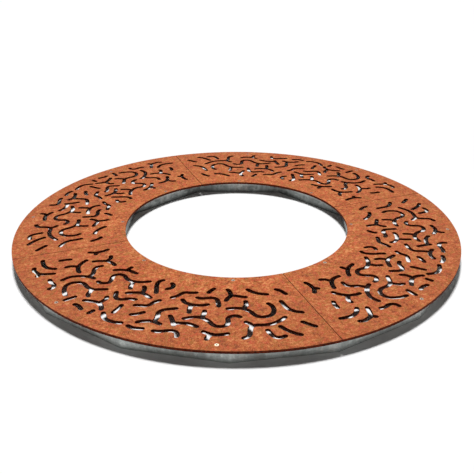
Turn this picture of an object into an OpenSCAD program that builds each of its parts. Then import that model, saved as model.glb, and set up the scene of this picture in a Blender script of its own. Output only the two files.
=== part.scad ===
// Round tree grate: four slotted quarter plates screwed to a frame of angle steel.
// The origin is the centre of the tree opening on the ground, and the seams lie on X and Y.
// Everything is in millimetres.

/* [Plates] */
// Outer diameter of the grate, across the plates
grate_d = 1500; // [1400:50:1700]
// Diameter of the tree opening in the plates
opening_d = 765; // [650:5:800]
// Thickness of the slotted plates
plate_t = 8; // [5:1:10]
// Width of the gap between neighbouring plates
plate_gap = 2; // [1:0.5:4]

/* [Slots] */
// Width of every slot, as a percentage of the width of the slotted band
slot_share = 5.8; // [4:0.1:6.2]
// Plain margin between the opening and the slotted band
inner_margin = 67; // [60:1:90]
// Plain margin between the slotted band and the outer edge
outer_margin = 48; // [45:1:70]

/* [Frame] */
// Height of the angle steel, from the ground to the plates
frame_h = 35; // [30:1:60]
// Width of the angle's top leg, which carries the plates
leg_w = 30; // [26:1:36]
// Thickness of both legs of the angle
angle_t = 4; // [3:1:5]
// Radius inside the corner between the two legs
root_r = 3; // [2:1:3]
// How far the frame's outer corners lie inside the plates' outer edge
outer_setback = 8; // [2:1:12]
// How far the middles of the inner bars lie behind the edge of the tree opening
inner_setback = 2; // [2:1:8]

/* [Plate screws] */
// Thread diameter of the countersunk plate screws
screw_d = 6; // [5:1:6]
// How far the plate screws stand out below their weld nuts
screw_stick_out = 3; // [1:1:8]
// Distance of the outer screws from the outer face of their bars
outer_screw_inset = 13; // [13:1:15]
// Distance of the outer screws from the middle of their bars, towards the seams
outer_screw_shift = 110; // [60:5:120]
// Distance of the inner screws from the face of their bars at the opening
inner_screw_inset = 13; // [13:1:16]
// How deep the screw heads sit below the plate's top
head_sink = 0.5; // [0.2:0.1:0.5]
// Width across the flats of the socket in the screw heads
socket_flats = 4; // [3:0.5:4]
// Depth of the socket in the screw heads
socket_depth = 2.2; // [1.6:0.2:2.4]
// Height of the weld nuts that take the plate screws
weld_nut_h = 5; // [4:0.5:6]
// Width across the flats of the weld nuts
weld_nut_flats = 10; // [9:0.5:10]

/* [Seam bolts] */
// Thread diameter of the bolts that join two quarter frames
bolt_d = 8; // [6:1:8]
// Distance of the seam bolts from the frame's corners at the seam
bolt_inset = 75; // [60:5:120]
// Width across the flats of the bolt heads and nuts
bolt_flats = 13; // [12:0.5:14]
// Height of the bolt heads
bolt_head_h = 5.3; // [4:0.1:6]
// Height of the seam nuts
seam_nut_h = 6.5; // [5:0.1:8]
// Outer diameter of the washers
washer_d = 16; // [15:0.5:18]
// Thickness of the washers
washer_t = 1.6; // [1:0.1:2]
// How far a bolt stands out of its nut
bolt_stick_out = 3; // [1:0.5:6]

/* [Clearances] */
// How much wider than its screw or bolt a plain hole is
hole_clearance = 1; // [0.4:0.2:1.6]

/* [Hidden] */
$fn = 96;
quarters = [1:4];
outer_sides = 16;
inner_sides = 8;

rust = [0.71, 0.42, 0.26];
zinc = [0.58, 0.60, 0.58];
bright_zinc = [0.76, 0.77, 0.77];

right_angle = 90;
full_turn = 4 * right_angle;
grate_r = grate_d / 2;
opening_r = opening_d / 2;
plate_top = frame_h + plate_t;
under_leg = frame_h - angle_t;

// The frame has straight bars, so both its outlines are polygons with a corner at each seam.
// Each has a radius to its corners and a distance to the faces of its bars.
outer_span = full_turn / outer_sides;
inner_span = full_turn / inner_sides;
outer_corner_r = grate_r - outer_setback;
outer_face_r = outer_corner_r * cos(outer_span / 2);
inner_face_r = opening_r + inner_setback;
inner_corner_r = inner_face_r / cos(inner_span / 2);

// A through cut starts and ends this far outside the solid that it cuts
cut_past = 1;

// Plate screws
screw_head_d = 2 * screw_d;
screw_hole_d = screw_d + hole_clearance;
screw_top = plate_top - head_sink;
screw_cone_h = (screw_head_d - screw_d) / 2;
screw_len = screw_top - under_leg + weld_nut_h + screw_stick_out;
countersink_d = screw_head_d + 2 * head_sink;
countersink_h = (countersink_d - screw_hole_d) / 2;
outer_screw_r = outer_face_r - outer_screw_inset;
inner_screw_r = inner_face_r + inner_screw_inset;

// Seam bolts lie across the seam, halfway up the standing legs
bolt_hole_d = bolt_d + hole_clearance;
bolt_z = under_leg / 2;
bolt_radii = [inner_corner_r + bolt_inset, outer_corner_r - bolt_inset];
bolt_len = 2 * angle_t + 2 * washer_t + seam_nut_h + bolt_stick_out;

// The slotted band
percent = 0.01;
band_in = opening_r + inner_margin;
band_w = grate_r - outer_margin - band_in;
slot_w = slot_share * percent * band_w;

// The slots are drawn on one quarter of a ring, as the lines that a cutter's middle follows.
// Each point is [degrees past the seam, percent of the way across the slotted band, outwards].
// A line that starts on another makes a fork.
slot_lines = [
    // From the seam to 20 degrees past it
    [[3.8, 84.8], [5, 85.6], [6.6, 86], [8, 84.4], [9.1, 80.8], [9.9, 76.4]],
    [[7, 98], [8, 99.6], [9.2, 98.4], [10.4, 96.4], [11.3, 90], [12.2, 81.6]],
    [[10.4, 96.4], [11.3, 100]],
    [[5.9, 65.2], [6, 60], [6.2, 56.4], [6.5, 53.6]],
    [[9.5, 36.8], [9.9, 40.4], [10.7, 44.8], [12, 50.4], [13.4, 53.2], [14.5, 54.8], [15.5, 55.2]],
    [[10.6, 63.6], [10.6, 59.2], [11.2, 55.2], [12, 50.8]],
    [[14.7, 90.8], [16, 92], [17.1, 91.2], [18.2, 92.8], [18.7, 96.4], [18.7, 100]],
    [[16.7, 79.2], [16.5, 74], [16.5, 68], [17, 63.2], [17.8, 58], [18.9, 54], [20, 50.8], [21.4, 48.8]],
    [[19.6, 51.2], [19, 45.6], [18.2, 42], [16.9, 38.8], [16, 35.2], [15.7, 31.2], [16, 26.8]],
    [[4.4, 27.2], [5.1, 23.2], [5.6, 18.8], [5.6, 14], [5.5, 8.8], [5, 4.4]],
    [[5.6, 18.4], [6.8, 21.6]],
    [[11.5, 30], [12, 25.2], [12.7, 20.8], [13.6, 16.8], [14.8, 14], [16.4, 12.8], [18.2, 13.2]],
    [[13.6, 16.8], [12.6, 9.6], [11, 6.8]],
    // From 20 to 45 degrees
    [
        [23.8, 92.8], [22.5, 90.8], [21.2, 87.2], [20.1, 82.8], [19.6, 77.2], [19.8, 71.6], [20.6, 66.8],
        [21.7, 64.4], [23, 64.4], [24.3, 65.6], [25.6, 65.2], [26.8, 63.2], [27.8, 59.2], [29.2, 54],
    ],
    [[26.2, 64.4], [26.9, 70], [27.5, 74.4], [28.3, 76.8]],
    [[25.6, 99.2], [25.8, 94], [26.1, 87.6]],
    [[28.8, 97.2], [30, 96.8], [31.5, 99.2]],
    [[21.3, 20], [22.2, 16], [23.3, 12.4], [24.6, 9.6], [26, 7.6], [27.5, 7.2], [28.9, 6.8]],
    [[24.6, 9.6], [24.1, 4.8], [24, 1.6]],
    [
        [23.9, 49.6], [25, 49.2], [26, 46.8], [26.6, 43.2], [26.5, 39.6], [25.8, 36], [24.9, 32],
        [24.3, 28], [24.7, 23.2], [25.8, 20.4], [27.2, 20], [28.6, 22], [29.8, 23.2], [31, 23.2],
        [32.4, 22], [34, 19.6], [35.5, 16], [36.8, 12],
    ],
    [[32.4, 22], [33, 28], [33.6, 32.4], [34.5, 36]],
    [[29.1, 85.2], [30, 82.8], [31.4, 80], [32.7, 79.2], [34, 81.2], [34.9, 84.4], [35.3, 86.8]],
    [[32.7, 79.2], [32.9, 74.4], [32.9, 68.8], [32.3, 64.8]],
    [[34.1, 99.6], [34.2, 93.6]],
    [[36.8, 90.8], [37.6, 94.8], [38.7, 98.4], [40, 99.6], [41.5, 98.8], [42.8, 96.8]],
    [[38.6, 84.4], [38.5, 79.2], [38.5, 73.6], [38.3, 68.8]],
    [
        [32.6, 51.2], [33.4, 55.2], [34.2, 59.2], [35.2, 61.2], [36.4, 59.6], [37.4, 56], [38.4, 52.8],
        [39.7, 51.6],
    ],
    [[35.4, 45.6], [36.5, 42], [38, 38.4], [39.2, 37.2], [40.6, 37.6], [42, 39.6], [42.9, 40.8]],
    [[39.2, 37.2], [38.9, 32], [38.3, 27.6], [37.4, 24.4]],
    [[42.9, 28.8], [42.2, 24], [41.2, 18.8], [40.3, 13.2], [39.8, 8], [40, 4], [40.5, 1.6]],
    [[42.9, 78.8], [43.8, 76], [44.6, 72.8], [45.1, 69.6]],
    [[41.3, 61.2], [42.6, 59.2], [44, 57.2], [44.8, 53.2], [45, 48.8], [45.5, 44.8], [46.1, 41.6]],
    // From 45 to 70 degrees
    [[44.9, 16.4], [45.9, 13.2], [46.1, 9.6], [45.6, 5.6], [44.7, 3.2]],
    [[44.8, 98.4], [45.9, 99.6], [47.2, 98.8], [48.2, 97.2]],
    [
        [50.8, 97.2], [51.8, 96.8], [52.8, 94.8], [53.9, 92.4], [55, 91.6], [55.8, 93.6], [56.2, 96.8],
        [56.3, 100],
    ],
    [[45.9, 88.4], [47, 84.4], [48.2, 82], [49.4, 81.6], [50.3, 82.4], [51.1, 83.6]],
    [
        [49.4, 81.6], [49.4, 76], [49.1, 70], [48.7, 64], [49, 59.2], [50, 55.2], [51.3, 52.4],
        [52.3, 50.4],
    ],
    [[52.1, 66], [53, 71.2], [53.7, 76], [54.3, 80.8]],
    [[54, 78], [55.2, 76.4], [56.4, 75.6], [57.6, 75.6], [58.8, 77.2], [59.7, 79.2]],
    [
        [55.8, 67.2], [57, 64], [58.5, 61.6], [60, 62], [61.4, 64.8], [62.4, 68.8], [63.2, 73.2],
        [64.3, 76], [65.6, 76], [66.6, 72.8], [66.9, 66.8], [66.8, 60.4], [67.6, 56.4], [68.8, 55.2],
        [69.9, 57.6],
    ],
    [[60, 62], [60.3, 56], [60.2, 48.4]],
    [[62.7, 100], [62.8, 96], [63.6, 90.4]],
    [[61.6, 87.2], [62.8, 90], [64.2, 91.6], [65.7, 90.8], [67, 88.8]],
    [[56.3, 54.4], [56, 49.6], [55.8, 44.8], [55.8, 38.8]],
    [[52.4, 31.6], [53.4, 35.6], [54.8, 38], [56.2, 38.8], [58, 38.4], [59.4, 37.2], [60.4, 35.2]],
    [
        [48.8, 30.8], [49.8, 26.8], [50.4, 22.8], [50.9, 18.8], [51.7, 16], [53, 15.2], [54.2, 14.4],
        [55.2, 13.2],
    ],
    [
        [56.5, 23.2], [57.6, 24], [59, 22.8], [60.3, 21.2], [61.7, 21.2], [62.8, 23.6], [63.3, 28],
        [63.6, 32.8], [63.8, 37.2],
    ],
    [[59.4, 10.4], [59.6, 7.2], [60.2, 4], [60.7, 1.2]],
    [[65.7, 24.8], [66.2, 19.6], [67, 15.2], [66.9, 10], [66.4, 4.8], [65.8, 1.6]],
    [[67, 14.4], [68.3, 14.4], [70, 16], [71.9, 17.6]],
    // From 70 degrees to the next seam
    [
        [66.5, 41.6], [68, 40.4], [69.5, 40.4], [70.8, 41.6], [72, 44.4], [73, 48.8], [73.6, 53.2],
        [74.3, 56.8], [75.5, 59.2], [77, 58.8], [78.3, 56], [79.1, 50.8], [79.4, 44.8], [79.2, 38.4],
        [78.5, 34],
    ],
    [[70.8, 41.6], [71.6, 36.4], [71.8, 31.6], [71.8, 26.8]],
    [
        [70.5, 96.4], [71.4, 94], [71.9, 90], [72, 84.8], [72.2, 79.2], [72.8, 75.2], [73.8, 74],
        [75.2, 74.4], [76.6, 74], [78, 72.4], [79.2, 70], [80.3, 66.8], [81.3, 63.6],
    ],
    [[72.8, 75.2], [72.1, 70.4], [71.3, 67.6]],
    [[76, 84.4], [76.3, 88.8], [76.7, 94], [77.3, 97.6], [78.4, 98.8], [79.4, 97.2]],
    [[79.2, 79.6], [79.8, 84], [80.7, 89.6], [81.7, 94.4], [82.8, 98.4]],
    [[73, 1.6], [74, 5.2], [75.1, 8.4], [76.4, 11.2], [77.8, 13.2], [79.2, 14.4]],
    [[83.1, 6.4], [84.2, 9.6], [84.8, 13.6], [85.4, 18.4]],
    [[82.5, 32], [82.8, 37.6], [83, 43.2], [83.4, 48.8], [84.1, 52.8], [85.1, 56.4], [86.3, 59.2]],
    [[84.8, 76.8], [85.6, 80.8], [86.3, 84.8], [87, 88]],
];

// Steps between two drawn points, and around the half circle at a slot's end
line_steps = 3;
end_steps = 5;

// A drawn point in the plane of the plate
function drawn_point(p) =
    let (r = band_in + p[1] * percent * band_w)
    [r * cos(p[0]), r * sin(p[0])];

// A point between b and c on the smooth curve through a, b, c and d, at t from 0 to 1
function curve_point(a, b, c, d, t) =
    b + t * (c - a) / 2
    + t * t * (2 * a - 5 * b + 4 * c - d) / 2
    + t * t * t * (3 * b - a - 3 * c + d) / 2;

// A smooth curve through all the points p
function smooth_line(p) =
    let (last = len(p) - 1)
    [
        for (i = [0:last - 1], k = [0:line_steps - 1])
            curve_point(p[max(i - 1, 0)], p[i], p[i + 1], p[min(i + 2, last)], k / line_steps),
        p[last],
    ];

// The direction of the curve c at its point i, as a unit vector
function direction(c, i) =
    let (v = c[min(i + 1, len(c) - 1)] - c[max(i - 1, 0)])
    v / norm(v);

// The point at an angle round p, measured from the direction v
function around(p, v, angle) =
    p + slot_w / 2 * [v.x * cos(angle) - v.y * sin(angle), v.x * sin(angle) + v.y * cos(angle)];

// The outline of a slot along the curve c: one side, a round end, the other side, a round end
function slot_outline(c) =
    let (
        last = len(c) - 1,
        end_turn = 2 * right_angle / end_steps
    )
    [
        for (i = [0:last]) around(c[i], direction(c, i), -right_angle),
        for (k = [1:end_steps - 1]) around(c[last], direction(c, last), k * end_turn - right_angle),
        for (i = [last:-1:0]) around(c[i], direction(c, i), right_angle),
        for (k = [1:end_steps - 1]) around(c[0], direction(c, 0), k * end_turn + right_angle),
    ];

module slots_2d() {
    for (line = slot_lines)
        polygon(slot_outline(smooth_line([for (p = line) drawn_point(p)])));
}

// The quarter of a ring between two radii, its ends set back from the seams
module quarter_ring_2d(inner_r, outer_r, set_back) {
    intersection() {
        difference() {
            circle(r = outer_r);
            circle(r = inner_r);
        }
        translate([set_back, set_back]) square(outer_r);
    }
}

// The profile of the angle steel: the standing leg on Y, the top leg out along X
module angle_profile() {
    arc_x = angle_t + root_r;
    arc_y = under_leg - root_r;
    arc_steps = 4;
    polygon([
        [0, 0],
        [angle_t, 0],
        for (k = [0:arc_steps])
            let (a = 2 * right_angle - k * right_angle / arc_steps)
            [arc_x + root_r * cos(a), arc_y + root_r * sin(a)],
        [leg_w, under_leg],
        [leg_w, frame_h],
        [0, frame_h],
    ]);
}

// Places its child at the four screws of a quarter, at ground level. The outer screws are in the
// two middle bars of the quarter, near their ends on the seams' side.
module at_plate_screws() {
    for (side = [-1, 1]) {
        rotate((right_angle + side * outer_span) / 2)
            translate([outer_screw_r, side * outer_screw_shift]) children();
        rotate((right_angle + side * inner_span) / 2)
            translate([inner_screw_r, 0]) children();
    }
}

// Places its child at the two bolts of the seam on X, turned so that +Z becomes +Y
module at_seam_bolts() {
    for (r = bolt_radii)
        translate([r, 0, bolt_z]) rotate([-right_angle, 0, 0]) children();
}

// A hexagonal prism, measured across its flats, with two of the flats facing along X
module hexagon(flats, h) {
    sides = 6;
    rotate(right_angle) cylinder(d = flats / cos(full_turn / sides / 2), h = h, $fn = sides);
}

// The cut that leaves a bore of height h from the level z up, through both faces
module bore(d, z, h) {
    translate([0, 0, z - cut_past]) cylinder(d = d, h = h + 2 * cut_past);
}

// Turns its children from the first quarter into quarter q
module in_quarter(q) {
    rotate((q - 1) * right_angle) children();
}

module plate(q) {
    color(rust) in_quarter(q) difference() {
        translate([0, 0, frame_h]) linear_extrude(plate_t) difference() {
            quarter_ring_2d(opening_r, grate_r, plate_gap / 2);
            slots_2d();
        }
        at_plate_screws() {
            bore(screw_hole_d, frame_h, plate_t);
            translate([0, 0, plate_top - countersink_h])
                cylinder(d1 = screw_hole_d, d2 = countersink_d, h = countersink_h);
        }
    }
}

// The triangle from the centre over one side of a polygon that starts on X and spans an angle
module sector(span) {
    reach = 2 * grate_r;
    translate([0, 0, -cut_past]) linear_extrude(frame_h + 2 * cut_past) polygon([
        [0, 0],
        [reach, 0],
        [reach * cos(span), reach * sin(span)],
    ]);
}

// A straight length of angle steel along Y, its standing leg's outer face on the YZ plane
module straight_bar(bar_len) {
    translate([0, bar_len / 2, 0]) rotate([right_angle, 0, 0])
        linear_extrude(bar_len) angle_profile();
}

// The length of a bar on the side of a polygon, long enough to be mitred at both ends
function uncut_length(face_r, span) = 2 * (face_r + leg_w) * tan(span / 2) + 2 * cut_past;

// The first bar of each polygon, before its ends are mitred
module outer_uncut_bar() {
    rotate(outer_span / 2) translate([outer_face_r, 0, 0]) mirror([1, 0, 0])
        straight_bar(uncut_length(outer_face_r, outer_span));
}

module inner_uncut_bar() {
    rotate(inner_span / 2) translate([inner_face_r, 0, 0])
        straight_bar(uncut_length(inner_face_r, inner_span));
}

// Bar k of the outer polygon, counted from X
module outer_bar(k) {
    color(zinc) difference() {
        rotate((k - 1) * outer_span) intersection() {
            outer_uncut_bar();
            sector(outer_span);
        }
        for (q = quarters) in_quarter(q) at_plate_screws() bore(screw_hole_d, under_leg, angle_t);
    }
}

// Bar k of the inner polygon, counted from X
module inner_bar(k) {
    color(zinc) difference() {
        rotate((k - 1) * inner_span) intersection() {
            inner_uncut_bar();
            sector(inner_span);
        }
        for (q = quarters) in_quarter(q) at_plate_screws() bore(screw_hole_d, under_leg, angle_t);
    }
}

// Where a line beside the first side of a polygon is along X, at a height y over the seam
function line_x(line_r, span, y) = (line_r - y * sin(span / 2)) / cos(span / 2);

// The room on the seam between the side bars' faces, each moved in, up to a height
module between_side_bars(inset, top) {
    low_y = -cut_past;
    high_y = leg_w + cut_past;
    inner_r = inner_face_r + inset;
    outer_r = outer_face_r - inset;
    translate([0, 0, -cut_past]) linear_extrude(top + cut_past) polygon([
        [line_x(inner_r, inner_span, low_y), low_y],
        [line_x(outer_r, outer_span, low_y), low_y],
        [line_x(outer_r, outer_span, high_y), high_y],
        [line_x(inner_r, inner_span, high_y), high_y],
    ]);
}

// The end bar on X of a quarter frame, its standing leg on the seam. Both ends are cut back
// to the side bars: to their standing legs, to the round of their roots and to their top legs.
module seam_bar() {
    difference() {
        intersection() {
            translate([inner_face_r, 0, 0]) rotate([right_angle, 0, right_angle])
                linear_extrude(grate_r - inner_face_r) angle_profile();
            union() {
                between_side_bars(angle_t, under_leg - root_r);
                between_side_bars(angle_t + root_r, under_leg);
                between_side_bars(leg_w, frame_h + cut_past);
            }
        }
        at_seam_bolts() bore(bolt_hole_d, 0, angle_t);
    }
}

module start_bar(q) {
    color(zinc) in_quarter(q) seam_bar();
}

module end_bar(q) {
    color(zinc) in_quarter(q + 1) mirror([0, 1]) seam_bar();
}

module plate_screw() {
    difference() {
        union() {
            translate([0, 0, screw_top - screw_len]) cylinder(d = screw_d, h = screw_len);
            translate([0, 0, screw_top - screw_cone_h])
                cylinder(d1 = screw_d, d2 = screw_head_d, h = screw_cone_h);
        }
        translate([0, 0, screw_top - socket_depth]) hexagon(socket_flats, socket_depth + cut_past);
    }
}

module plate_screws(q) {
    color(bright_zinc) in_quarter(q) at_plate_screws() plate_screw();
}

module weld_nuts(q) {
    color(zinc) in_quarter(q) at_plate_screws()
        translate([0, 0, under_leg - weld_nut_h]) difference() {
            hexagon(weld_nut_flats, weld_nut_h);
            bore(screw_d, 0, weld_nut_h);
        }
}

module seam_bolts(q) {
    head_seat = -angle_t - washer_t;
    color(bright_zinc) in_quarter(q) at_seam_bolts() {
        translate([0, 0, head_seat]) cylinder(d = bolt_d, h = bolt_len);
        translate([0, 0, head_seat - bolt_head_h]) hexagon(bolt_flats, bolt_head_h);
    }
}

module seam_washers(q) {
    color(bright_zinc) in_quarter(q) at_seam_bolts()
        for (z = [-angle_t - washer_t, angle_t])
            translate([0, 0, z]) difference() {
                cylinder(d = washer_d, h = washer_t);
                bore(bolt_hole_d, 0, washer_t);
            }
}

module seam_nuts(q) {
    color(bright_zinc) in_quarter(q) at_seam_bolts()
        translate([0, 0, angle_t + washer_t]) difference() {
            hexagon(bolt_flats, seam_nut_h);
            bore(bolt_d, 0, seam_nut_h);
        }
}

for (q = quarters) {
    plate(q);
    start_bar(q);
    end_bar(q);
    plate_screws(q);
    weld_nuts(q);
    seam_bolts(q);
    seam_washers(q);
    seam_nuts(q);
}

for (k = [1:outer_sides])
    outer_bar(k);

for (k = [1:inner_sides])
    inner_bar(k);
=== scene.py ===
"""Looks of the tree grate: materials, small details, floor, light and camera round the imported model.

Everything is in metres. X and Y run along the seams, and Z is the height above the ground.
"""
import math
import random

import bpy
from mathutils import Matrix, Vector


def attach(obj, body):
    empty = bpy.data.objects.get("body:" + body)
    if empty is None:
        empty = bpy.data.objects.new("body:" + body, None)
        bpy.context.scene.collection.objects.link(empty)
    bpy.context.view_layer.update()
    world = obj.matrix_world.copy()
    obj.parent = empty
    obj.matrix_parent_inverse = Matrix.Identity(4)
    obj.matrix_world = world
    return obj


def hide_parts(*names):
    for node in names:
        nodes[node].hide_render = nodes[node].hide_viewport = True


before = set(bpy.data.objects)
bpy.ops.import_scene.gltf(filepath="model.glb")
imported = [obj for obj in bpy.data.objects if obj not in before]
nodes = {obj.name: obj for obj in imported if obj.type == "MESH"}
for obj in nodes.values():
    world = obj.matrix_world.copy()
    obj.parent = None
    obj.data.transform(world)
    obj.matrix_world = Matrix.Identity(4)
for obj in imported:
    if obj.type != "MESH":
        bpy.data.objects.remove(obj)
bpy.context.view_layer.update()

# Sizes of the small pieces and their places, as in the part's source

FRAME_H, PLATE_T, ANGLE_T = 0.035, 0.008, 0.004
PLATE_TOP = FRAME_H + PLATE_T
UNDER_LEG = FRAME_H - ANGLE_T
QUARTERS = (1, 2, 3, 4)

# The outer outline has sixteen sides and the inner one eight. Half a side spans these angles.
OUTER_HALF, INNER_HALF = math.radians(11.25), math.radians(22.5)
OUTER_CORNER_R, INNER_FACE_R = 0.742, 0.3845
OUTER_FACE_R = OUTER_CORNER_R * math.cos(OUTER_HALF)
INNER_CORNER_R = INNER_FACE_R / math.cos(INNER_HALF)

# Plate screws: their sizes, then how far they lie from the bars' faces and middles
SCREW_D, HEAD_D, CONE_H, SOCKET_FLATS = 0.006, 0.012, 0.003, 0.004
SCREW_TOP = PLATE_TOP - 0.0005
SCREW_BOTTOM = UNDER_LEG - 0.008
SCREW_INSET, OUTER_SCREW_SHIFT = 0.013, 0.110
WELD_NUT_H, WELD_NUT_FLATS = 0.005, 0.010

# Seam bolts with their washers and nuts
BOLT_D, BOLT_FLATS, BOLT_Z, BOLT_INSET = 0.008, 0.013, UNDER_LEG / 2, 0.075
BOLT_HEAD_H, BOLT_LEN, SEAM_NUT_H = 0.0053, 0.0207, 0.0065
WASHER_D, WASHER_HOLE, WASHER_T = 0.016, 0.009, 0.0016

# The middle of the one plate screw that shines in the photo, and how far the painted highlight on it
# reaches
GLINT_SCREW = (-0.3056, -0.6554, 0.0425)
GLINT_NEAR, GLINT_FAR = 0.010, 0.014


# Materials

class Shader:
    """A material's node tree, built with short calls."""

    def __init__(self, name):
        self.material = bpy.data.materials.new(name)
        self.material.use_nodes = True
        self.tree = self.material.node_tree
        self.tree.nodes.clear()
        self.coordinates = self.add("ShaderNodeTexCoord").outputs["Object"]
        self.normal = self.add("ShaderNodeNewGeometry").outputs["True Normal"]

    def put(self, socket, value):
        """Link another node's output to a socket, or set the socket to a constant."""
        if isinstance(value, bpy.types.NodeSocket):
            self.tree.links.new(value, socket)
        else:
            socket.default_value = value

    def add(self, kind, **inputs):
        node = self.tree.nodes.new(kind)
        for name, value in inputs.items():
            self.put(node.inputs[name.replace("_", " ")], value)
        return node

    def noise(self, scale, detail, rough=0.55, stretch=None):
        """Noise from 0 to 1. A stretch of -1 on an axis mirrors it, so that two noises differ."""
        place = self.coordinates
        if stretch:
            place = self.add("ShaderNodeMapping", Vector=place, Scale=stretch).outputs[0]
        return self.add("ShaderNodeTexNoise", Scale=scale, Detail=detail, Roughness=rough,
                        Vector=place).outputs["Fac"]

    def cells(self, scale):
        """A random colour for each cell, whose X, Y and Z serve as three random numbers."""
        return self.add("ShaderNodeTexVoronoi", Scale=scale,
                        Vector=self.coordinates).outputs["Color"]

    def ramp(self, factor, *stops):
        """A colour, or a grey given as one number, between two or more places of the factor."""
        node = self.add("ShaderNodeValToRGB", Fac=factor)
        elements = node.color_ramp.elements
        while len(elements) < len(stops):
            elements.new(0.5)
        for element, (place, colour) in zip(elements, stops):
            element.position = place
            element.color = (*colour, 1) if isinstance(colour, tuple) else (colour,) * 3 + (1,)
        return node.outputs["Color"]

    def spread(self, factor, low, high, to_low=0.0, to_high=1.0):
        """The stretch of the factor from low to high, spread from to_low to to_high."""
        node = self.add("ShaderNodeMapRange", Value=factor, From_Min=low, From_Max=high,
                        To_Min=to_low, To_Max=to_high)
        return node.outputs["Result"]

    def math(self, operation, a, b):
        node = self.add("ShaderNodeMath")
        node.operation = operation
        for socket, value in zip(node.inputs, (a, b)):
            self.put(socket, value)
        return node.outputs[0]

    def vector(self, operation, a, b, output):
        node = self.add("ShaderNodeVectorMath")
        node.operation = operation
        for socket, value in zip(node.inputs, (a, b)):
            self.put(socket, value)
        return node.outputs[output]

    def mix(self, factor, a, b):
        """Colour a where the factor is 0, and b where it is 1."""
        first, second, result = 6, 7, 2  # the Mix node's sockets for colours
        node = self.add("ShaderNodeMix")
        node.data_type = "RGBA"
        self.put(node.inputs["Factor"], factor)
        for socket, value in ((node.inputs[first], a), (node.inputs[second], b)):
            self.put(socket, (*value, 1) if isinstance(value, tuple) else value)
        return node.outputs[result]

    def axis(self, vector, name):
        return self.add("ShaderNodeSeparateXYZ", Vector=vector).outputs[name]

    def reach(self):
        """The distance from the grate's axis."""
        flat = self.vector("MULTIPLY", self.coordinates, (1, 1, 0), "Vector")
        return self.vector("DISTANCE", flat, (0, 0, 0), "Value")

    def finish(self, colour, roughness, height, bump_distance, bump_strength, **constants):
        bump = self.add("ShaderNodeBump", Height=height, Distance=bump_distance,
                        Strength=bump_strength)
        shader = self.add("ShaderNodeBsdfPrincipled", Base_Color=colour, Roughness=roughness,
                          Normal=bump.outputs["Normal"], **constants)
        output = self.add("ShaderNodeOutputMaterial")
        self.tree.links.new(shader.outputs[0], output.inputs["Surface"])
        return self.material


def linear(*rgb):
    """An sRGB colour written 0 to 255, as Blender's linear numbers."""
    return tuple(c / 255 / 12.92 if c <= 10 else ((c / 255 + 0.055) / 1.055) ** 2.4
                 for c in rgb)


def weathering_steel():
    """Rust in fine grains on top, cut edges dark with their oxide and with painted shade, and mill
    scale underneath.
    """
    s = Shader("weathering_steel")
    broad = s.noise(6, 3)
    patch = s.noise(30, 5, 0.62)
    grain = s.noise(125, 3, 0.6)
    red = s.noise(70, 4, 0.65, (1, -1, 1))
    olive = s.noise(62, 4, 0.65, (-1, 1, 1))
    speck = s.noise(420, 2, 0.6)
    tone = s.math("ADD", s.math("MULTIPLY", patch, 0.4), s.math("MULTIPLY", grain, 0.6))
    rust = s.ramp(tone, (0.38, linear(118, 46, 18)), (0.46, linear(174, 86, 42)),
                  (0.54, linear(206, 114, 64)), (0.62, linear(238, 160, 102)))
    rust = s.mix(s.spread(broad, 0.35, 0.65, 0, 0.3), rust, linear(172, 100, 62))
    rust = s.mix(s.spread(red, 0.51, 0.62, 0, 0.7), rust, linear(208, 88, 62))
    rust = s.mix(s.spread(olive, 0.52, 0.63, 0, 0.62), rust, linear(162, 112, 50))
    rust = s.mix(s.spread(speck, 0.57, 0.66, 0, 0.8), rust, linear(84, 34, 16))
    rust = s.mix(s.spread(speck, 0.43, 0.34, 0, 0.7), rust, linear(234, 166, 126))
    # The rust is a little darker towards the outer edge
    rust = s.mix(s.spread(s.reach(), 0.42, 0.74, 0, 0.22), rust, linear(150, 84, 54))
    # The cut faces: dark oxide, painted darker still as shade on these upright faces
    edge = s.ramp(grain, (0.35, linear(62, 18, 2)), (0.65, linear(112, 40, 8)))
    scale = s.ramp(tone, (0.4, linear(58, 42, 36)), (0.6, linear(96, 60, 44)))
    facing = s.axis(s.normal, "Z")
    colour = s.mix(s.spread(facing, 0.3, 0.6), edge, rust)
    colour = s.mix(s.spread(facing, -0.3, -0.6), colour, scale)
    height = s.math("ADD", grain, s.math("MULTIPLY", speck, 0.5))
    return s.finish(colour, s.spread(patch, 0.3, 0.7, 0.75, 0.95), height, 0.0006, 0.6,
                    Specular_IOR_Level=0.15)


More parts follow.
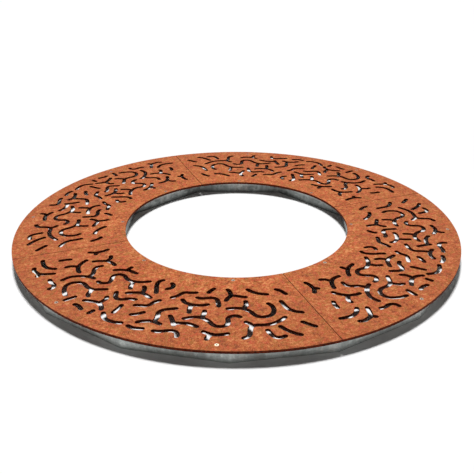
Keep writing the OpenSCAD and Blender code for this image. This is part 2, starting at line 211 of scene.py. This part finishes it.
def galvanised_frame():
    """Zinc with spangle, clouds and runs, a few rust stains, and painted shade and highlights by
    height and by distance from the axis.
    """
    s = Shader("galvanised_frame")
    spangle = s.cells(110)
    fine = s.noise(260, 4, 0.6)
    cloud = s.noise(9, 4, 0.6)
    patch = s.noise(38, 4, 0.65)
    streak = s.noise(60, 4, 0.6, (1, 1, 0.1))
    grey = s.mix(s.axis(spangle, "X"), linear(168, 174, 172), linear(208, 214, 210))
    grey = s.mix(s.spread(cloud, 0.42, 0.58, 0, 0.75), grey, linear(122, 128, 127))
    grey = s.mix(s.spread(streak, 0.46, 0.66, 0, 0.6), grey, linear(222, 228, 224))
    grey = s.mix(s.spread(patch, 0.55, 0.68, 0, 0.8), grey, linear(238, 242, 236))
    grey = s.mix(s.spread(patch, 0.44, 0.34, 0, 0.7), grey, linear(86, 92, 90))
    grey = s.mix(s.spread(fine, 0.58, 0.72, 0, 0.5), grey, linear(92, 94, 92))
    stain = s.math("MULTIPLY", s.spread(s.noise(9, 3), 0.56, 0.68), s.spread(streak, 0.4, 0.6))
    grey = s.mix(s.math("MULTIPLY", stain, 0.5), grey, linear(132, 92, 66))
    # Painted shade at the foot, a painted highlight in a stripe under the plates, outer bars painted
    # lighter, and painted shade on the bars round the opening, deepest low down
    rise = s.axis(s.coordinates, "Z")
    # Painted shade, darker towards the foot
    grey = s.mix(s.spread(rise, 0.014, 0.0, 0, 0.7), grey, linear(78, 80, 77))
    # Painted highlight in a stripe just under the plates
    grey = s.mix(s.spread(rise, 0.026, 0.033, 0, 0.55), grey, linear(240, 242, 238))
    # Painted light: the outer bars lighter
    grey = s.mix(s.spread(s.reach(), 0.6, 0.7, 0, 0.32), grey, linear(236, 240, 236))
    # Painted shade on the bars round the opening, deepest low down
    inner = s.spread(s.reach(), 0.5, 0.42)
    inner_painted_shade = s.math("MULTIPLY", inner, s.spread(rise, 0.03, 0.008, 0.35, 0.6))
    grey = s.mix(inner_painted_shade, grey, linear(60, 62, 60))
    height = s.math("ADD", fine, s.math("MULTIPLY", s.axis(spangle, "Y"), 0.3))
    return s.finish(grey, s.spread(s.axis(spangle, "Z"), 0, 1, 0.42, 0.62), height, 0.0004, 0.5,
                    Metallic=0.45)


def bright_fasteners():
    """Plated steel, duller towards the back, with a painted highlight on one screw and painted shade
    and dirt in the sockets.
    """
    s = Shader("bright_fasteners")
    fine = s.noise(900, 3, 0.6)
    cloud = s.noise(180, 3, 0.6)
    metal = s.ramp(cloud, (0.35, linear(138, 126, 114)), (0.65, linear(184, 172, 156)))
    metal = s.mix(s.spread(fine, 0.52, 0.66, 0, 0.6), metal, linear(134, 92, 66))
    away = s.spread(s.axis(s.coordinates, "Y"), -0.42, -0.1, 0, 0.6)
    metal = s.mix(away, metal, linear(140, 88, 62))
    # Painted highlight on the one plate screw that shines
    glint_mask = s.spread(s.vector("DISTANCE", s.coordinates, GLINT_SCREW, "Value"),
                     GLINT_FAR, GLINT_NEAR)
    glint_colour = s.ramp(fine, (0.4, linear(206, 194, 168)), (0.6, linear(232, 222, 200)))
    metal = s.mix(glint_mask, metal, glint_colour)
    rise = s.axis(s.coordinates, "Z")
    # Painted shade, with some dirt, in the screw sockets and down the countersunk heads
    socket = s.math("MULTIPLY", s.spread(rise, 0.0423, 0.0415, 0, 0.85),
                    s.spread(rise, 0.036, 0.038))
    metal = s.mix(socket, metal, linear(52, 40, 32))
    return s.finish(metal, s.spread(fine, 0.3, 0.7, 0.4, 0.62), fine, 0.0001, 0.4,
                    Metallic=0.7)


rust = weathering_steel()
zinc = galvanised_frame()
bright = bright_fasteners()


def coat(name):
    if name.startswith("plate_screws") or name.startswith("seam_") and "bar" not in name:
        return bright
    return rust if name.startswith("plate_") else zinc


for name, node in nodes.items():
    node.data.materials.clear()
    node.data.materials.append(coat(name))


# Screws, bolts, nuts and washers, each a solid of rings round Z

TURN = 36  # points to a ring
CHAMFER_FLATS = 0.97  # the flat face inside a chamfer, as a share of the width across flats
CHAMFER = math.tan(math.radians(30))


def around(radius, z):
    """A ring of points. Its radius and its height are numbers, or depend on the angle."""
    ring = []
    for k in range(TURN):
        a = 2 * math.pi * k / TURN
        r = radius(a) if callable(radius) else radius
        ring.append((r * math.cos(a), r * math.sin(a), z(a) if callable(z) else z))
    return ring


def six_sided(flats):
    """The radius of a hexagon by the angle, with two of the flats facing along X."""
    def radius(a):
        return flats / 2 / math.cos((a + math.pi / 6) % (math.pi / 3) - math.pi / 6)
    return radius


def threaded(diameter, pitch, low, high):
    """Rings of a right-handed screw thread."""
    depth = 0.55 * pitch
    steps = max(2, round((high - low) / pitch * 4))
    rings = []
    for k in range(steps + 1):
        z = low + (high - low) * k / steps

        def radius(a, z=z):
            phase = (z / pitch - a / (2 * math.pi)) % 1
            return diameter / 2 - depth * min(1, 1.25 * abs(2 * phase - 1))
        rings.append(around(radius, z))
    return rings


class Piece:
    """One mesh of the scene, gathered from solids that are stacks of rings."""

    def __init__(self):
        self.points, self.faces = [], []

    def solid(self, rings, place, closed=False):
        """Rings from the bottom up. The first and last are capped, or joined if closed is set."""
        start, n = len(self.points), len(rings[0])
        for ring in rings:
            self.points += [place @ Vector(p) for p in ring]
        flip = place.determinant() < 0
        for i in range(len(rings) if closed else len(rings) - 1):
            a, b = start + i * n, start + (i + 1) % len(rings) * n
            for k in range(n):
                face = (a + k, a + (k + 1) % n, b + (k + 1) % n, b + k)
                self.faces.append(face[::-1] if flip else face)
        if not closed:
            low = tuple(start + n - 1 - k for k in range(n))
            high = tuple(start + (len(rings) - 1) * n + k for k in range(n))
            self.faces += [low[::-1], high[::-1]] if flip else [low, high]

    def make(self, name, material, slot, replaced=()):
        mesh = bpy.data.meshes.new(name)
        mesh.from_pydata(self.points, [], self.faces)
        mesh.validate()
        mesh.materials.append(material)
        mesh.polygons.foreach_set("use_smooth", [True] * len(mesh.polygons))
        mesh.set_sharp_from_angle(angle=math.radians(32))
        piece = bpy.data.objects.new(name, mesh)
        bpy.context.scene.collection.objects.link(piece)
        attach(piece, "root")
        if replaced:
            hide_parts(*replaced)


def plate_screw_rings():
    """From the tip up the thread and the cone, over the head's edge and down into the socket."""
    socket, cone, pitch = six_sided(SOCKET_FLATS), SCREW_TOP - CONE_H, 0.001
    return [
        around(0.8 * SCREW_D / 2, SCREW_BOTTOM),
        *threaded(SCREW_D, pitch, SCREW_BOTTOM + 0.0006, cone - 0.0004),
        around(SCREW_D / 2, cone),
        around(HEAD_D / 2 - 0.0001, SCREW_TOP - 0.0003),
        around(HEAD_D / 2 - 0.0003, SCREW_TOP),
        around(lambda a: socket(a) + 0.0003, SCREW_TOP),
        around(socket, SCREW_TOP - 0.0003),
        around(socket, SCREW_TOP - 0.0021),
        around(lambda a: 0.75 * socket(a), SCREW_TOP - 0.0022),
        around(0.0002, SCREW_TOP - 0.0026),
    ]


def chamfer_rise(flats):
    """How far a hexagon's edge lies beyond its flat face, by the angle."""
    outline = six_sided(flats)
    return lambda a: (outline(a) - CHAMFER_FLATS * flats / 2) * CHAMFER


def bolt_rings():
    """The bolt's axis is Z, and its head ends under Z = 0, where the first washer starts."""
    outline, rise, pitch = six_sided(BOLT_FLATS), chamfer_rise(BOLT_FLATS), 0.00125
    return [
        around(0.8 * BOLT_FLATS / 2, -BOLT_HEAD_H),
        around(CHAMFER_FLATS * BOLT_FLATS / 2, -BOLT_HEAD_H),
        around(outline, lambda a: -BOLT_HEAD_H + rise(a)),
        around(outline, -0.0005),
        around(0.95 * BOLT_FLATS / 2, -0.0004),
        around(0.95 * BOLT_FLATS / 2, 0),
        around(BOLT_D / 2, 0),
        *threaded(BOLT_D, pitch, 0.0018, BOLT_LEN - 0.0008),
        around(0.8 * BOLT_D / 2, BOLT_LEN),
    ]


def nut_rings(flats, bore, height):
    """A closed loop of rings, up the outside and down the bore."""
    outline, rise, face, round_off = six_sided(flats), chamfer_rise(flats), flats / 2, 0.0004
    return [
        around(bore / 2 + round_off, 0),
        around(CHAMFER_FLATS * face, 0),
        around(outline, rise),
        around(outline, lambda a: height - rise(a)),
        around(CHAMFER_FLATS * face, height),
        around(bore / 2 + round_off, height),
        around(bore / 2, height - round_off),
        around(bore / 2, round_off),
    ]


def washer_rings():
    """A closed loop of rings, up the outside and down the hole."""
    outer, hole, round_off = WASHER_D / 2, WASHER_HOLE / 2, 0.00025
    return [
        around(hole + round_off, 0),
        around(outer - round_off, 0),
        around(outer, round_off),
        around(outer, WASHER_T - round_off),
        around(outer - round_off, WASHER_T),
        around(hole + round_off, WASHER_T),
        around(hole, WASHER_T - round_off),
        around(hole, round_off),
    ]


def turned(degrees):
    return Matrix.Rotation(math.radians(degrees), 4, "Z")


def moved(x, y, z):
    return Matrix.Translation((x, y, z))


def screw_places(quarter):
    """Where the plate screws of a quarter stand: outer, inner, outer, inner."""
    middle = 90 * (quarter - 1) + 45
    for side in (-1, 1):
        yield turned(middle + side * 11.25) @ moved(
            OUTER_FACE_R - SCREW_INSET, side * OUTER_SCREW_SHIFT, 0)
        yield turned(middle + side * 22.5) @ moved(INNER_FACE_R + SCREW_INSET, 0, 0)


def bolt_places(quarter):
    """Where the seam bolts of a quarter lie, with the bolt's axis on Z."""
    for r in (INNER_CORNER_R + BOLT_INSET, OUTER_CORNER_R - BOLT_INSET):
        yield turned(90 * (quarter - 1)) @ moved(r, 0, BOLT_Z) @ Matrix.Rotation(
            math.radians(-90), 4, "X")


for q in QUARTERS:
    screws, nuts = Piece(), Piece()
    for n, place in enumerate(screw_places(q)):
        screws.solid(plate_screw_rings(), place @ turned(37 * n + 21 * q))
        nuts.solid(nut_rings(WELD_NUT_FLATS, SCREW_D, WELD_NUT_H),
                   place @ moved(0, 0, UNDER_LEG - WELD_NUT_H), closed=True)
    screws.make(f"plate_screw_set_{q}", bright, "bright_fasteners", [f"plate_screws_{q}"])
    nuts.make(f"weld_nut_set_{q}", zinc, "galvanised_frame", [f"weld_nuts_{q}"])
    bolts, washers, nuts = Piece(), Piece(), Piece()
    under_head = -ANGLE_T - WASHER_T
    for n, place in enumerate(bolt_places(q)):
        bolts.solid(bolt_rings(), place @ moved(0, 0, under_head) @ turned(25 * n + 40 * q))
        for z in (under_head, ANGLE_T):
            washers.solid(washer_rings(), place @ moved(0, 0, z), closed=True)
        nuts.solid(nut_rings(BOLT_FLATS, BOLT_D, SEAM_NUT_H), place @ moved(0, 0, -under_head),
                   closed=True)
    bolts.make(f"seam_bolt_set_{q}", bright, "bright_fasteners", [f"seam_bolts_{q}"])
    washers.make(f"seam_washer_set_{q}", bright, "bright_fasteners", [f"seam_washers_{q}"])
    nuts.make(f"seam_nut_set_{q}", bright, "bright_fasteners", [f"seam_nuts_{q}"])


# Weld beads. Each kind has half its width and how far it stands out.

OUTSIDE_BEAD, INSIDE_BEAD = (0.0028, 0.0009), (0.0026, 0.0018)
OPENING_BEAD, BEHIND_BEAD = (0.0032, 0.0012), (0.0028, 0.0010)
END_BEAD = (0.0022, 0.0022)
BEAD_STEP, BEAD_SIDES = 0.0008, 12
OUTSIDE_FOOT, INSIDE_FOOT = 0.001, 0.0012
OUTSIDE_TOP, INSIDE_TOP = FRAME_H - 0.0008, UNDER_LEG - 0.0032

# A weld nut's tack: how far it lies from the screw's axis, half its length and half its width,
# and rings from its tip up, each as a share of these and a distance below the leg
TACK_R, TACK_X, TACK_Y = 0.0056, 0.0013, 0.0021
TACK_RINGS = ((0.25, 0.0016), (0.65, 0.0013), (0.9, 0.0008), (1, 0))


def bead_rings(length, wide, proud, rng):
    """A rippled weld bead along Z: half its width on each side of X, and how far it stands out."""
    count = max(4, round(length / BEAD_STEP))
    rings = []
    for k in range(count + 1):
        s = k / count
        tip = math.sqrt(max(0.02, 1 - abs(2 * s - 1) ** 12))
        size = tip * (1 + 0.10 * math.sin(2 * math.pi * k / 2.7) + rng.uniform(-0.05, 0.05))
        drift = rng.uniform(-0.0001, 0.0001)
        rings.append([(proud * size * math.cos(2 * math.pi * i / BEAD_SIDES),
                       drift + wide * size * math.sin(2 * math.pi * i / BEAD_SIDES), length * s)
                      for i in range(BEAD_SIDES)])
    return rings


def tack_rings():
    return [[(TACK_X * share * math.cos(math.pi * i / 6),
              TACK_Y * share * math.sin(math.pi * i / 6), UNDER_LEG - below)
             for i in range(12)] for share, below in TACK_RINGS]


def weld_beads(quarter):
    """The welds of a quarter frame: its mitred corners, its seam bars' ends and its weld nuts."""
    rng = random.Random(100 + quarter)
    piece = Piece()
    base = 90 * (quarter - 1)

    def upright(angle, radius, low, high, bead):
        piece.solid(bead_rings(high - low, *bead, rng),
                    turned(base + angle) @ moved(radius, 0, low))

    for angle in (22.5, 45, 67.5):
        upright(angle, OUTER_CORNER_R - 0.0003, OUTSIDE_FOOT, OUTSIDE_TOP, OUTSIDE_BEAD)
        upright(angle, OUTER_CORNER_R - ANGLE_T / math.cos(OUTER_HALF), INSIDE_FOOT, INSIDE_TOP,
                INSIDE_BEAD)
    upright(45, INNER_CORNER_R, OUTSIDE_FOOT, OUTSIDE_TOP, OPENING_BEAD)
    upright(45, INNER_CORNER_R + ANGLE_T / math.cos(INNER_HALF), INSIDE_FOOT, INSIDE_TOP,
            BEHIND_BEAD)
    # The seam bar at the start of the quarter, then the one at its end, which mirrors it
    for side in (turned(base), turned(base + 90) @ Matrix.Scale(-1, 4, (0, 1, 0))):
        for wall, half in ((OUTER_FACE_R - ANGLE_T, OUTER_HALF),
                           (INNER_FACE_R + ANGLE_T, INNER_HALF)):
            x = (wall - ANGLE_T * math.sin(half)) / math.cos(half)
            piece.solid(bead_rings(INSIDE_TOP - INSIDE_FOOT, *END_BEAD, rng),
                        side @ moved(x, ANGLE_T, INSIDE_FOOT))
    for place in screw_places(quarter):
        for k in range(3):
            piece.solid(tack_rings(), place @ turned(30 + 120 * k) @ moved(TACK_R, 0, 0))
    piece.make(f"weld_beads_{quarter}", zinc, "galvanised_frame")


for q in QUARTERS:
    weld_beads(q)


# Floor, world, light and camera

FLOOR_R, FLOOR_DROP = 40, 0.0002
AMBIENT = 0.06
TO_LIGHT = Vector((4.3, 13.0, 43.0)).normalized()
LIGHT_LEVEL, LIGHT_SPREAD = 0.995, 12
CAMERA_LENS = 50.77
CAMERA_PLACE = (-0.75725, -1.96767, 0.98904 + PLATE_TOP)
CAMERA_TURN = (63.6524, -0.0217, -21.0862)


def floor_material():
    s = Shader("studio_floor")
    grain = s.noise(3, 2)
    shade = s.ramp(grain, (0.3, 0.955), (0.7, 0.965))
    return s.finish(shade, 0.9, grain, 0.0, 0.0, Specular_IOR_Level=0.0)


bpy.ops.mesh.primitive_circle_add(vertices=96, radius=FLOOR_R, fill_type="NGON",
                                  location=(0, 0, -FLOOR_DROP))
floor = bpy.context.object
floor.name = "studio_floor"
floor.data.materials.append(floor_material())

# The world lights the object weakly, and shows as white to the camera and in reflections
world = bpy.data.worlds.new("studio")
bpy.context.scene.world = world
world.use_nodes = True
sky = world.node_tree
sky.nodes.clear()
path = sky.nodes.new("ShaderNodeLightPath")
shown = path.outputs["Is Camera Ray"]
for ray in ("Is Transmission Ray", "Is Glossy Ray"):
    larger = sky.nodes.new("ShaderNodeMath")
    larger.operation = "MAXIMUM"
    sky.links.new(shown, larger.inputs[0])
    sky.links.new(path.outputs[ray], larger.inputs[1])
    shown = larger.outputs[0]
either = sky.nodes.new("ShaderNodeMixShader")
sky.links.new(shown, either.inputs[0])
for place, strength in ((1, AMBIENT), (2, 1.0)):
    white = sky.nodes.new("ShaderNodeBackground")
    white.inputs["Color"].default_value = (1, 1, 1, 1)
    white.inputs["Strength"].default_value = strength
    sky.links.new(white.outputs[0], either.inputs[place])
surface = sky.nodes.new("ShaderNodeOutputWorld")
sky.links.new(either.outputs[0], surface.inputs["Surface"])

lamp = bpy.data.lights.new("key", "SUN")
lamp.energy = LIGHT_LEVEL * math.pi / TO_LIGHT.z
lamp.angle = math.radians(LIGHT_SPREAD)
key = bpy.data.objects.new("key", lamp)
key.rotation_mode = "QUATERNION"
key.rotation_quaternion = TO_LIGHT.to_track_quat("Z", "Y")
bpy.context.scene.collection.objects.link(key)

view = bpy.data.cameras.new("camera")
view.sensor_fit = "HORIZONTAL"
view.sensor_width = 36
view.lens = CAMERA_LENS
view.clip_end = 200
camera = bpy.data.objects.new("camera", view)
camera.location = CAMERA_PLACE
camera.rotation_euler = [math.radians(a) for a in CAMERA_TURN]
bpy.context.scene.collection.objects.link(camera)
bpy.context.scene.camera = camera
bpy.context.scene.view_settings.view_transform = "Standard"
